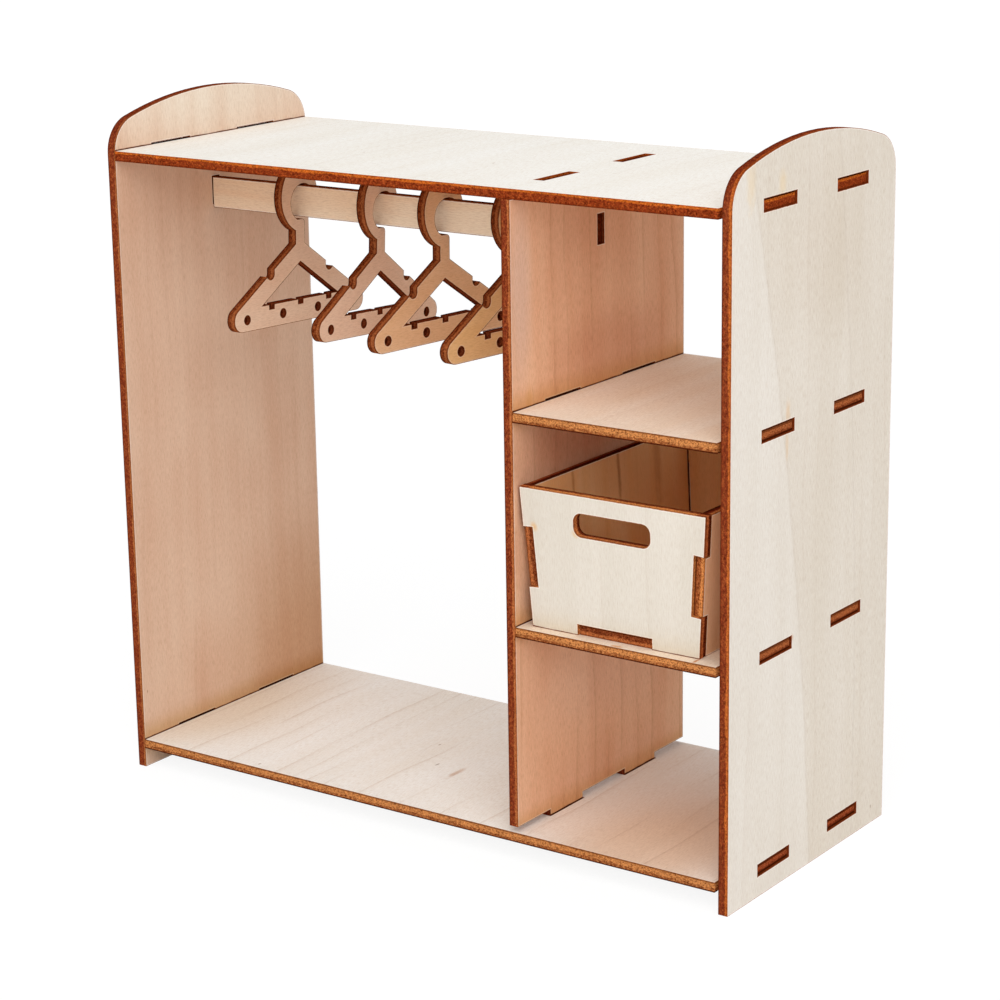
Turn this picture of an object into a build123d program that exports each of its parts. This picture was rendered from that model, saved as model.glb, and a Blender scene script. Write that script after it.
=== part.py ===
"""Earring display stand: slotted plywood panels, a hanging rail with four small hangers, and a drawer."""

import os
from math import cos, radians, sin, sqrt, tan

from build123d import *

# Sheet, and the play between cut pieces, in mm
ply = 2.6
slot_gap = 0.15
slot_rise = 0.4
tab_recess = 0.5
board_play = 1.0
divider_lift = 1.6

# Stand: clear widths and heights between the panels
hanging_bay = 123.6
shelf_bay = 58.6
compartment = 51.9
panel_depth = 79.0
foot_height = 5.4
headboard = 13.0
arch_radius = 117.0
arch_corner = 9.5
foot_corner = 1.5
tab_length = 15.0
tab_pitch = 35.0

# Hanging rail, measured down from the top board
rail_drop = 9.2
rail_height = 8.4
rail_tab = 7.4

# Hook of a hanger, round the middle of its inner circle
hook_slack = 0.63
hook_gap = 0.15
ledge_gap = 0.67
ledge_rounding = 1.2
hook_back = 4.0
hook_back_rise = 1.7
shoulder_out = 1.7
shoulder_rise = 3.0
brow_in = 0.1
brow_rise = 1.4
tail_width = 2.1
tail_drop = 0.4
tail_rounding = 0.9
hook_foot = 7.4

# Body of a hanger
neck_offset = 1.2
neck_width = 3.8
neck_foot = 11.0
arm_slope = 32.5
arm_width = 5.15
hanger_drop = 32.15
tip_radius = 3.2
bar_height = 6.15
hole_radius = 1.2
hole_pitch = 14.8
hole_rise = 3.1
bar_notch_width = 2.0
bar_notch_depth = 1.3
bar_notch_pitch = 12.1
arm_notch_place = 12.4
arm_notch_radius = 1.45
arm_notch_depth = 0.3

# Place of each hanger along the rail, from the middle of the bay
first_place = -32.5
second_place = -5.1
third_place = 15.8
fourth_place = 39.2

# How each hanger hangs: its place, its turn and its lean in degrees
hangers = [
    (first_place, 0.0, -2.5),
    (second_place, 3.0, -4.0),
    (third_place, -5.0, -1.0),
    (fourth_place, -6.2, -0.7),
]

# Drawer, between the divider and the right side, with all four walls leaning outwards
drawer_gap = 0.6
drawer_spare = 4.8
drawer_headroom = 15.9
drawer_front_inset = 3.2
drawer_back_inset = 2.7
side_slant = 4.05
end_slant = 2.6
finger_recess = 0.6
finger_gap = 0.15
glue_line = 0.02
side_finger = 15.0
floor_finger = 21.0
grip_width = 21.7
grip_height = 5.8
grip_rounding = 2.2
grip_drop = 4.7

# Faces of the panels and boards
overall_width = hanging_bay + shelf_bay + 3 * ply
left_outer = -overall_width / 2
left_inner = left_outer + ply
divider_left = left_inner + hanging_bay
divider_right = divider_left + ply
right_inner = divider_right + shelf_bay
panel_front = -panel_depth / 2
panel_back = panel_depth / 2
base_bottom = foot_height
base_top = base_bottom + ply
lower_shelf_bottom = base_top + compartment
lower_shelf_top = lower_shelf_bottom + ply
upper_shelf_bottom = lower_shelf_top + compartment
top_board_bottom = upper_shelf_bottom + ply + compartment
top_board_top = top_board_bottom + ply
panel_top = top_board_top + headboard
rail_top = top_board_bottom - rail_drop
tab_places = (-tab_pitch / 2, tab_pitch / 2)
tab_reach = ply - tab_recess

# Hook circle, resting on the upper corners of the rail
hook_radius = sqrt((rail_height / 2 + hook_slack) ** 2 + (ply / 2) ** 2)
hook_rest = sqrt((hook_radius - hook_gap) ** 2 - (ply / 2) ** 2)
hook_ledge = rail_height - hook_rest + ledge_gap
neck_front = -neck_offset - neck_width / 2
neck_back = -neck_offset + neck_width / 2

# Drawer edges: widths at its brim and foot, depth at its foot
side_lean = radians(side_slant)
end_lean = radians(end_slant)
drawer_front = panel_front + drawer_front_inset
drawer_back = panel_back - drawer_back_inset
drawer_depth = drawer_back - drawer_front
drawer_height = compartment - drawer_headroom
drawer_top_width = shelf_bay - drawer_gap - drawer_spare
drawer_bottom_width = drawer_top_width - 2 * drawer_height * tan(side_lean)
drawer_across = divider_right + drawer_gap + drawer_top_width / 2
drawer_along = (drawer_front + drawer_back) / 2


def board_slots(bottom):
    """Cuts two slots for the tabs of a board into the sketch of a panel."""
    for place in tab_places:
        with Locations((place, bottom + (ply + slot_rise) / 2)):
            Rectangle(tab_length + 2 * slot_gap, ply + slot_rise, mode=Mode.SUBTRACT)


def rail_slot():
    """Cuts the slot for one end of the rail into the sketch of a panel."""
    with Locations((0, rail_top - rail_tab + (rail_tab + slot_gap) / 2)):
        Rectangle(ply + 2 * slot_gap, rail_tab + slot_gap, mode=Mode.SUBTRACT)


def side_panel(left_face, board_bottoms, holds_rail):
    """Side panel with an arched top edge, from the given face to the right."""
    arch_foot = panel_top - arch_radius + sqrt(arch_radius**2 - panel_back**2)
    front_end = (panel_front, arch_foot)
    back_end = (panel_back, arch_foot)
    with BuildPart() as panel:
        with BuildSketch(Plane.YZ.offset(left_face)) as outline:
            with BuildLine():
                Polyline(front_end, (panel_front, 0), (panel_back, 0), back_end)
                ThreePointArc(back_end, (0, panel_top), front_end)
            make_face()
            corners = outline.vertices().group_by(Axis.Y)
            fillet(corners[-1], arch_corner)
            fillet(corners[0], foot_corner)
            for bottom in board_bottoms:
                board_slots(bottom)
            if holds_rail:
                rail_slot()
        extrude(amount=ply)
    return panel


def board(bottom, left_face, holds_divider):
    """Flat board with two tabs at each end, from the given face to just short of the right side."""
    right_face = right_inner - board_play
    left_end = left_face - tab_reach
    right_end = right_inner + tab_reach
    with BuildPart() as sheet:
        with BuildSketch(Plane.XY.offset(bottom)):
            with Locations(((left_face + right_face) / 2, 0)):
                Rectangle(right_face - left_face, panel_depth)
            with Locations([((left_end + right_end) / 2, place) for place in tab_places]):
                Rectangle(right_end - left_end, tab_length)
            if holds_divider:
                with Locations([(divider_left + ply / 2, place) for place in tab_places]):
                    Rectangle(ply + 2 * slot_gap, tab_length + 2 * slot_gap, mode=Mode.SUBTRACT)
        extrude(amount=ply)
    return sheet


def divider_panel():
    """Upright between the bays, tabbed into the base and top boards, with slots for shelves and rail."""
    body_bottom = base_top + divider_lift
    tab_bottom = base_bottom + tab_recess
    tab_top = top_board_top - tab_recess
    with BuildPart() as panel:
        with BuildSketch(Plane.YZ.offset(divider_left)):
            with Locations((0, (body_bottom + top_board_bottom) / 2)):
                Rectangle(panel_depth, top_board_bottom - body_bottom)
            with Locations([(place, (tab_bottom + tab_top) / 2) for place in tab_places]):
                Rectangle(tab_length, tab_top - tab_bottom)
            board_slots(lower_shelf_bottom)
            board_slots(upper_shelf_bottom)
            rail_slot()
        extrude(amount=ply)
    return panel


def rail_strip():
    """Upright strip across the hanging bay, with a lower tab at each end."""
    middle = left_inner + hanging_bay / 2
    with BuildPart() as strip:
        with BuildSketch(Plane.XZ):
            with Locations((middle, rail_top - rail_height / 2)):
                Rectangle(hanging_bay, rail_height)
            with Locations((middle, rail_top - rail_tab / 2)):
                Rectangle(hanging_bay + 2 * tab_reach, rail_tab)
        extrude(amount=ply / 2, both=True)
    return strip


def hook_face():
    """Hook and neck of a hanger, round the middle of the hook's inner circle."""
    foot = (neck_front, -hook_foot)
    back = (-hook_radius - hook_back, hook_back_rise)
    shoulder = (-hook_radius - shoulder_out, hook_radius + shoulder_rise)
    brow = (hook_radius - brow_in, hook_radius + brow_rise)
    tail_inner = (sqrt(hook_radius**2 - tail_drop**2), -tail_drop)
    tail_outer = (hook_radius + tail_width, -tail_drop)
    ledge_front = (-sqrt(hook_radius**2 - hook_ledge**2), -hook_ledge)
    ledge_back = (neck_back, -hook_ledge)
    with BuildSketch() as face:
        with BuildLine():
            back_arc = ThreePointArc(foot, back, shoulder)
            crown_arc = TangentArc(back_arc @ 1, brow, tangent=back_arc % 1)
            TangentArc(crown_arc @ 1, tail_outer, tangent=crown_arc % 1)
            Line(tail_outer, tail_inner)
            ThreePointArc(tail_inner, (-hook_radius, 0), ledge_front)
            Polyline(ledge_front, ledge_back, (neck_back, -neck_foot), (neck_front, -neck_foot), foot)
        make_face()
        tail_corners = [face.vertices().sort_by_distance(point)[0] for point in (tail_outer, tail_inner)]
        fillet(tail_corners, tail_rounding)
        fillet(face.vertices().sort_by_distance(ledge_back)[0], ledge_rounding)
    return face.sketch


def frame_face():
    """Triangular frame of a hanger below its neck, with its notches and holes."""
    slope = tan(radians(arm_slope))
    peak_drop = neck_foot - neck_width / 2 * slope
    inner_peak_drop = peak_drop + arm_width / cos(radians(arm_slope))
    bar_drop = hanger_drop - bar_height
    outer_half = (hanger_drop - peak_drop) / slope
    inner_half = (bar_drop - inner_peak_drop) / slope
    notch_drop = peak_drop + arm_notch_place * slope + arm_notch_depth
    with BuildSketch() as face:
        with BuildLine():
            Polyline(
                (neck_front, -neck_foot),
                (-neck_offset - outer_half, -hanger_drop),
                (-neck_offset + outer_half, -hanger_drop),
                (neck_back, -neck_foot),
                close=True,
            )
        make_face()
        fillet(face.vertices().group_by(Axis.Y)[0], tip_radius)
        with BuildLine():
            Polyline(
                (-neck_offset, -inner_peak_drop),
                (-neck_offset - inner_half, -bar_drop),
                (-neck_offset + inner_half, -bar_drop),
                close=True,
            )
        make_face(mode=Mode.SUBTRACT)
        with Locations((-neck_offset, -bar_drop)):
            with GridLocations(bar_notch_pitch, 1, 3, 1):
                Rectangle(bar_notch_width, 2 * bar_notch_depth, mode=Mode.SUBTRACT)
        with Locations((-neck_offset, -hanger_drop + hole_rise)):
            with GridLocations(hole_pitch, 1, 4, 1):
                Circle(hole_radius, mode=Mode.SUBTRACT)
        with Locations((-neck_offset, -notch_drop)):
            with GridLocations(2 * arm_notch_place, 1, 2, 1):
                Circle(arm_notch_radius, mode=Mode.SUBTRACT)
        with Locations((-neck_offset, -notch_drop + arm_notch_radius)):
            with GridLocations(2 * arm_notch_place, 1, 2, 1):
                Rectangle(2 * arm_notch_radius, 2 * arm_notch_radius, mode=Mode.SUBTRACT)
    return face.sketch


def hanger(place, turn, lean):
    """Small hanger on the rail, turned about the vertical and leaning along its own sheet."""
    turned, leaned = radians(turn), radians(lean)
    across = (-sin(turned) * cos(leaned), cos(turned) * cos(leaned), sin(leaned))
    outward = (cos(turned), sin(turned), 0)
    hook_middle = (left_inner + hanging_bay / 2 + place, 0, rail_top - hook_rest)
    sheet = Plane(origin=hook_middle, x_dir=across, z_dir=outward)
    with BuildPart() as piece:
        with BuildSketch(sheet):
            add(hook_face())
            add(frame_face())
        extrude(amount=ply / 2, both=True)
    return piece


def flared_outline(foot_width, height, slant):
    """Sheet outline that stands on its lower edge and widens upwards on both sides."""
    top_width = foot_width + 2 * height * tan(radians(slant))
    Trapezoid(top_width, height, 90 + slant, align=(Align.CENTER, Align.MIN))


def drawer_end(side, has_grip):
    """End of the drawer, leaning outwards; side is -1 at the front or 1 at the back."""
    slope_length = drawer_height / cos(end_lean)
    foot = (drawer_across, drawer_along + side * drawer_depth / 2, lower_shelf_top)
    outward = (0, side * cos(end_lean), -sin(end_lean))
    edge_place = (drawer_bottom_width + drawer_top_width) / 4
    with BuildPart() as end:
        with BuildSketch(Plane(origin=foot, x_dir=(-side, 0, 0), z_dir=outward)):
            flared_outline(drawer_bottom_width, slope_length - ply * tan(end_lean), side_slant)
            for edge in (-1, 1):
                middle = (edge * edge_place, slope_length / 2, 0)
                with Locations(Location(middle, (0, 0, -edge * side_slant))):
                    Rectangle(2 * (ply + finger_gap), side_finger + 2 * finger_gap, mode=Mode.SUBTRACT)
            Rectangle(floor_finger + 2 * finger_gap, 2 * (ply + finger_gap), mode=Mode.SUBTRACT)
            if has_grip:
                with Locations((0, slope_length - grip_drop - grip_height / 2)):
                    RectangleRounded(grip_width, grip_height, grip_rounding, mode=Mode.SUBTRACT)
        extrude(amount=-ply)
    return end


def drawer_wall(side):
    """Side wall of the drawer, leaning outwards, with a finger through each end; side is -1 or 1."""
    slope_length = drawer_height / cos(side_lean)
    wall_height = slope_length - ply * tan(side_lean)
    wall_depth = drawer_depth - 2 * (ply / cos(end_lean) + glue_line)
    foot = (drawer_across + side * drawer_bottom_width / 2, drawer_along, lower_shelf_top)
    outward = (side * cos(side_lean), 0, -sin(side_lean))
    finger_foot = (slope_length - side_finger) / 2
    finger_reach = drawer_depth + 2 * finger_foot * tan(end_lean) - 2 * finger_recess
    with BuildPart() as wall:
        with BuildSketch(Plane(origin=foot, x_dir=(0, side, 0), z_dir=outward)):
            flared_outline(wall_depth, wall_height, end_slant)
            with Locations((0, finger_foot)):
                flared_outline(finger_reach, side_finger, end_slant)
            Rectangle(floor_finger + 2 * finger_gap, 2 * (ply + finger_gap), mode=Mode.SUBTRACT)
        extrude(amount=-ply)
    return wall


def drawer_floor():
    """Floor of the drawer, with a finger into each wall and each end."""
    body_width = drawer_bottom_width - 2 * ply * cos(side_lean)
    body_depth = drawer_depth - 2 * ply * cos(end_lean)
    with BuildPart() as floor:
        with BuildSketch(Plane.XY.offset(lower_shelf_top)):
            with Locations((drawer_across, drawer_along)):
                Rectangle(body_width, body_depth)
                Rectangle(drawer_bottom_width - 2 * finger_recess, floor_finger)
                Rectangle(floor_finger, drawer_depth - 2 * finger_recess)
        extrude(amount=ply)
    return floor


pieces = {
    "left_side": side_panel(left_outer, [base_bottom, top_board_bottom], True),
    "right_side": side_panel(
        right_inner, [base_bottom, lower_shelf_bottom, upper_shelf_bottom, top_board_bottom], False
    ),
    "base_board": board(base_bottom, left_inner, True),
    "top_board": board(top_board_bottom, left_inner, True),
    "lower_shelf": board(lower_shelf_bottom, divider_right, False),
    "upper_shelf": board(upper_shelf_bottom, divider_right, False),
    "divider": divider_panel(),
    "hanging_rail": rail_strip(),
    "drawer_front": drawer_end(-1, True),
    "drawer_back": drawer_end(1, False),
    "drawer_left": drawer_wall(-1),
    "drawer_right": drawer_wall(1),
    "drawer_floor": drawer_floor(),
}
for number, (place, turn, lean) in enumerate(hangers, start=1):
    pieces[f"hanger_{number}"] = hanger(place, turn, lean)

os.makedirs("parts", exist_ok=True)
for name, piece in pieces.items():
    piece.part.label = name
    export_step(piece.part, f"parts/{name}.step")
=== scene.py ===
from math import cos, radians, sin

import bmesh
import bpy
from mathutils import Matrix, Vector


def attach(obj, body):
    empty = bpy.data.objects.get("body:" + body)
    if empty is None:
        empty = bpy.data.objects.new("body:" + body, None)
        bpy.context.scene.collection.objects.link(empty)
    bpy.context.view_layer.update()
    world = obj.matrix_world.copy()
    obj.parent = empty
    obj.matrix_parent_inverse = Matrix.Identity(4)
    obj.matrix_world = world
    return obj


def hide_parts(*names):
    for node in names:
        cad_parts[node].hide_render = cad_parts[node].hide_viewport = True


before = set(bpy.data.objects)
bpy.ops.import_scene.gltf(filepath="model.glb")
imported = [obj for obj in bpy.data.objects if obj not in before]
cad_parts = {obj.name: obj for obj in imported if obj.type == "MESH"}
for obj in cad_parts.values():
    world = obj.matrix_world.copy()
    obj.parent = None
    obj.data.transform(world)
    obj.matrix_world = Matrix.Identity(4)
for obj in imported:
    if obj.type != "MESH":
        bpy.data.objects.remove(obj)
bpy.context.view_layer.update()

millimetre = 0.001
sheetThickness = 2.6  # millimetres


# small helpers for node trees

def paint(code, alpha=1.0):
    # a hex colour as it looks on screen, turned into the linear values that sockets take
    channels = [int(code[place:place + 2], 16) / 255 for place in (1, 3, 5)]
    linear = [
        value / 12.92 if value <= 0.04045 else ((value + 0.055) / 1.055) ** 2.4 for value in channels
    ]
    return (*linear, alpha)


def feed(tree, socket, value):
    # a socket is linked, anything else becomes the input's own value
    if isinstance(value, bpy.types.NodeSocket):
        tree.links.new(value, socket)
    else:
        socket.default_value = value


def addNode(tree, kind, inputs=None, **settings):
    node = tree.nodes.new("ShaderNode" + kind)
    for name, value in settings.items():
        setattr(node, name, value)
    for name, value in (inputs or {}).items():
        feed(tree, node.inputs[name], value)
    return node


def calculate(tree, operation, *values, clamp=False):
    node = addNode(tree, "Math", dict(enumerate(values)), operation=operation, use_clamp=clamp)
    return node.outputs[0]


def moveVector(tree, operation, first, second):
    return addNode(tree, "VectorMath", {0: first, 1: second}, operation=operation).outputs[0]


def mixColours(tree, factor, below, above, blend="MIX"):
    node = addNode(tree, "Mix", {0: factor}, data_type="RGBA", blend_type=blend)
    feed(tree, node.inputs[6], below)
    feed(tree, node.inputs[7], above)
    return node.outputs[2]


def noise(tree, place, stretch, detail=2.0, roughness=0.5):
    # stretch is how often the pattern turns in each direction, per unit of the place that it gets
    scaled = moveVector(tree, "MULTIPLY", place, stretch)
    inputs = {"Vector": scaled, "Scale": 1.0, "Detail": detail, "Roughness": roughness}
    return addNode(tree, "TexNoise", inputs).outputs[0]


def ease(tree, value, start, end, low=0.0, high=1.0):
    inputs = {"Value": value, "From Min": start, "From Max": end, "To Min": low, "To Max": high}
    return addNode(tree, "MapRange", inputs, interpolation_type="SMOOTHSTEP").outputs[0]


def startGroup(name, inputs, outputs):
    group = bpy.data.node_groups.new(name, "ShaderNodeTree")
    for label, kind, value in inputs:
        socket = group.interface.new_socket(name=label, in_out="INPUT", socket_type="NodeSocket" + kind)
        socket.default_value = value
    for label, kind in outputs:
        group.interface.new_socket(name=label, in_out="OUTPUT", socket_type="NodeSocket" + kind)
    given = group.nodes.new("NodeGroupInput").outputs
    result = group.nodes.new("NodeGroupOutput").inputs
    return group, given, result


def placeGroup(tree, group, inputs):
    node = addNode(tree, "Group", node_tree=group)
    for name, value in inputs.items():
        feed(tree, node.inputs[name], value)
    return node.outputs


def shiftBySeed(tree, given, step):
    # moves the pattern, so that no two sheets are cut from the same place
    inputs = {0: step, "Scale": given["Seed"]}
    offset = addNode(tree, "VectorMath", inputs, operation="SCALE").outputs[0]
    return moveVector(tree, "ADD", given["Place"], offset)


white = (1.0, 1.0, 1.0, 1.0)

# effects that the ply finishes share

grainWork = {
    "seedStep": (83.0, 47.0, 0.0),  # millimetres
    # how often each pattern turns per millimetre, along the grain, across it and through the sheet
    "sway": (0.012, 0.020, 0.0), "bands": (0.0035, 0.085, 0.0), "clouds": (0.022, 0.045, 0.0),
    "fibres": (0.50, 4.2, 0.0), "pores": (0.9, 2.6, 0.3), "uneven": (0.0020, 0.050, 0.0),
    "broken": (0.016, 0.13, 0.0), "flecks": (0.055, 0.110, 0.0),
    "swing": 9.0,  # millimetres that the grain sways from a straight line, from side to side
    "bandContrast": 3.4, "cloudContrast": 1.4, "cloudDrop": -0.2,
    "linesPerMillimetre": 0.15, "lineWander": 2.4, "lineCrispness": 9.0,
    "fleckShare": 0.28,
    # where each mask starts and where it is full
    "lineParts": (0.42, 0.60), "fibreParts": (0.40, 0.70), "poreParts": (0.56, 0.74),
    "fleckEdge": (0.045, 0.022),
    "poreHeight": 0.5, "lineHeight": 0.6, "gloss": (0.3, 0.7, 0.60, 0.74),
    "lineTint": (0.62, 0.47, 0.35, 1.0), "fibreTint": (0.74, 0.66, 0.58, 1.0),
    "poreTint": (1.12, 1.11, 1.09, 1.0), "fleckTint": (0.42, 0.28, 0.18, 1.0),
}


def buildGrain(work):
    # peeled veneer: slow bands, thin growth lines along the grain, short fibres and a few flecks
    group, given, result = startGroup(
        "plyGrain",
        [
            ("Place", "Vector", (0, 0, 0)),
            ("Seed", "Float", 0.0),
            ("Pale", "Color", white),
            ("Warm", "Color", white),
            ("Bands", "Float", 1.0),
            ("Fibres", "Float", 1.0),
            ("Lines", "Float", 1.0),
            ("Flecks", "Float", 1.0),
        ],
        [("Color", "Color"), ("Height", "Float"), ("Roughness", "Float")],
    )
    place = shiftBySeed(group, given, work["seedStep"])
    sway = noise(group, place, work["sway"], detail=2.0)
    swing = calculate(group, "MULTIPLY_ADD", sway, work["swing"], -work["swing"] / 2)
    swayVector = addNode(group, "CombineXYZ", {"Y": swing}).outputs[0]
    swayed = moveVector(group, "ADD", place, swayVector)

    bands = noise(group, swayed, work["bands"], detail=4.0, roughness=0.6)
    clouds = noise(group, place, work["clouds"], detail=2.0)
    fibres = noise(group, swayed, work["fibres"], detail=3.0, roughness=0.75)
    pores = noise(group, swayed, work["pores"], detail=3.0, roughness=0.7)

    highlightTone = calculate(group, "MULTIPLY_ADD", bands, work["bandContrast"], -work["bandContrast"] / 2)
    highlightTone = calculate(group, "MULTIPLY", highlightTone, given["Bands"])
    cloudTone = calculate(group, "MULTIPLY_ADD", clouds, work["cloudContrast"], work["cloudDrop"])
    tone = calculate(group, "ADD", highlightTone, cloudTone, clamp=True)
    colour = mixColours(group, tone, given["Pale"], given["Warm"])

    # growth lines: a slow rise that ends in a crisp edge, here and there broken off
    acrossGrain = addNode(group, "SeparateXYZ", {0: swayed}).outputs[1]
    uneven = noise(group, swayed, work["uneven"], detail=1.0)
    wander = calculate(group, "MULTIPLY", uneven, work["lineWander"])
    turns = calculate(group, "MULTIPLY_ADD", acrossGrain, work["linesPerMillimetre"], wander)
    growth = calculate(group, "POWER", calculate(group, "FRACT", turns), work["lineCrispness"])
    broken = noise(group, swayed, work["broken"], detail=1.0)
    lineMask = calculate(group, "MULTIPLY", growth, ease(group, broken, *work["lineParts"]))
    lineMask = calculate(group, "MULTIPLY", lineMask, given["Lines"])
    colour = mixColours(group, lineMask, colour, work["lineTint"], "MULTIPLY")

    fibreTone = ease(group, fibres, *work["fibreParts"])
    fibreMask = calculate(group, "MULTIPLY", fibreTone, given["Fibres"])
    colour = mixColours(group, fibreMask, colour, work["fibreTint"], "MULTIPLY")
    poreTone = ease(group, pores, *work["poreParts"])
    poreMask = calculate(group, "MULTIPLY", poreTone, given["Fibres"])
    colour = mixColours(group, poreMask, colour, work["poreTint"], "MULTIPLY")

    fleckPlace = moveVector(group, "MULTIPLY", swayed, work["flecks"])
    cells = addNode(group, "TexVoronoi", {"Vector": fleckPlace, "Scale": 1.0}, feature="F1").outputs
    cellDice = addNode(group, "SeparateColor", {0: cells["Color"]}).outputs[0]
    rare = calculate(group, "GREATER_THAN", cellDice, 1.0 - work["fleckShare"])
    spot = ease(group, cells["Distance"], *work["fleckEdge"])
    fleck = calculate(group, "MULTIPLY", spot, rare)
    fleckMask = calculate(group, "MULTIPLY", fleck, given["Flecks"])
    colour = mixColours(group, fleckMask, colour, work["fleckTint"], "MULTIPLY")
    feed(group, result["Color"], colour)

    poreHeight = calculate(group, "MULTIPLY", poreTone, work["poreHeight"])
    lineHeight = calculate(group, "MULTIPLY", lineMask, work["lineHeight"])
    height = calculate(group, "SUBTRACT", poreHeight, fibreTone)
    height = calculate(group, "SUBTRACT", height, lineHeight)
    feed(group, result["Height"], height)
    feed(group, result["Roughness"], ease(group, bands, *work["gloss"]))
    return group


cutWork = {
    "seedStep": (61.0, 29.0, 0.0),  # millimetres
    # how often each pattern turns per millimetre, along the grain, across it and through the sheet
    "streaks": (1.7, 1.7, 0.5), "blotches": (1.3, 1.3, 1.8), "drift": (0.10, 0.10, 0.25),
    "specks": (1.9, 1.9, 3.0),
    "glowSoftness": 0.14,  # half the width of the change from char to glow
    "blotchPush": 0.44, "driftPush": 1.1,  # how far the patterns bend that change
    # where each mask starts and where it is full
    "toastParts": (0.44, 0.60), "speckParts": (0.48, 0.40), "glintParts": (0.53, 0.60),
    "borderParts": (0.82, 0.98), "borderRagged": 0.34, "borderSootAndShade": 0.26,
    "borderFade": (-0.2, 0.4, 1.0, 0.6), "streakShade": (0.25, 0.75, 0.88, 1.10),
    "streakHeight": 0.5, "speckHeight": 0.8, "gloss": (0.3, 0.7, 0.66, 0.86),
    "speckTint": (0.34, 0.22, 0.15, 1.0), "glintTint": (1.42, 1.38, 1.30, 1.0),
    "sootAndShadeTint": (0.52, 0.21, 0.24, 1.0), "borderTone": "#4a1a07",
}


def buildLaserCut(work):
    # the cut edge of the sheet: char on one side, a glow of toasted ply on the other, blotches, specks
    # and dark arrises
    group, given, result = startGroup(
        "laserCut",
        [
            ("Place", "Vector", (0, 0, 0)),
            ("Seed", "Float", 0.0),
            ("Half Thickness", "Float", sheetThickness / 2),
            ("Char", "Color", white),
            ("Toast", "Color", white),
            ("Glow", "Color", white),
            ("Light Side", "Float", 1.0),
            ("Split", "Float", 0.3),
            ("Specks", "Float", 0.5),
            ("Borders", "Float", 0.5),
            ("Soot And Shade", "Float", 0.0),
        ],
        [("Color", "Color"), ("Height", "Float"), ("Roughness", "Float")],
    )
    through = addNode(group, "SeparateXYZ", {0: given["Place"]}).outputs[2]
    depth = calculate(group, "DIVIDE", through, given["Half Thickness"])
    lean = calculate(group, "MULTIPLY", depth, given["Light Side"])
    place = shiftBySeed(group, given, work["seedStep"])

    streaks = noise(group, place, work["streaks"], detail=3.0, roughness=0.65)
    blotches = noise(group, place, work["blotches"], detail=4.0, roughness=0.75)
    drift = noise(group, place, work["drift"], detail=3.0, roughness=0.6)
    specks = noise(group, place, work["specks"], detail=4.0, roughness=0.8)

    level = calculate(group, "MULTIPLY_ADD", blotches, work["blotchPush"], -work["blotchPush"] / 2)
    level = calculate(group, "ADD", lean, level)
    slow = calculate(group, "MULTIPLY_ADD", drift, work["driftPush"], -work["driftPush"] / 2)
    level = calculate(group, "ADD", level, slow)
    start = calculate(group, "SUBTRACT", given["Split"], work["glowSoftness"])
    end = calculate(group, "ADD", given["Split"], work["glowSoftness"])
    glowMask = ease(group, level, start, end)

    toastMask = ease(group, blotches, *work["toastParts"])
    toastMask = calculate(group, "MULTIPLY", toastMask, given["Specks"])
    colour = mixColours(group, toastMask, given["Char"], given["Toast"])
    colour = mixColours(group, glowMask, colour, given["Glow"])
    speckMask = ease(group, specks, *work["speckParts"])
    speckMask = calculate(group, "MULTIPLY", speckMask, given["Specks"])
    colour = mixColours(group, speckMask, colour, work["speckTint"], "MULTIPLY")
    glintMask = ease(group, specks, *work["glintParts"])
    glintMask = calculate(group, "MULTIPLY", glintMask, given["Specks"])
    colour = mixColours(group, glintMask, colour, work["glintTint"], "MULTIPLY")
    shade = ease(group, streaks, *work["streakShade"])
    colour = addNode(group, "VectorMath", {0: colour, "Scale": shade}, operation="SCALE").outputs[0]

    # laser soot, and painted shade in slots and on tab ends, darken the cut and widen its dark border
    colour = mixColours(group, given["Soot And Shade"], colour, work["sootAndShadeTint"], "MULTIPLY")
    outwards = calculate(group, "ABSOLUTE", depth)
    ragged = calculate(group, "MULTIPLY_ADD", blotches, work["borderRagged"], outwards)
    ragged = calculate(group, "MULTIPLY_ADD", given["Soot And Shade"], work["borderSootAndShade"], ragged)
    border = calculate(group, "MULTIPLY", given["Borders"], ease(group, lean, *work["borderFade"]))
    border = calculate(group, "MAXIMUM", border, given["Soot And Shade"])
    border = calculate(group, "MULTIPLY", ease(group, ragged, *work["borderParts"]), border)
    colour = mixColours(group, border, colour, paint(work["borderTone"]))
    feed(group, result["Color"], colour)

    speckHeight = calculate(group, "MULTIPLY", specks, work["speckHeight"])
    height = calculate(group, "MULTIPLY_ADD", streaks, work["streakHeight"], speckHeight)
    feed(group, result["Height"], height)
    feed(group, result["Roughness"], ease(group, specks, *work["gloss"]))
    return group


rimWork = {
    "seedStep": (17.0, 71.0, 0.0),  # millimetres
    "ragged": (1.3, 1.3, 0.0), "patches": (0.085, 0.085, 0.4),  # turns per millimetre
    "raggedness": 0.5, "holeExtra": 0.16,
    # from the ring's inner edge at 0 to the cut at 1, where each mark starts and where it is full
    "line": (0.66, 0.92), "tan": (0.46, 0.72), "bandStart": (0.05, 0.35), "bandEnd": (0.85, 0.60),
    "halo": (0.0, 0.9), "haloParts": (0.50, 0.66),
}


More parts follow.
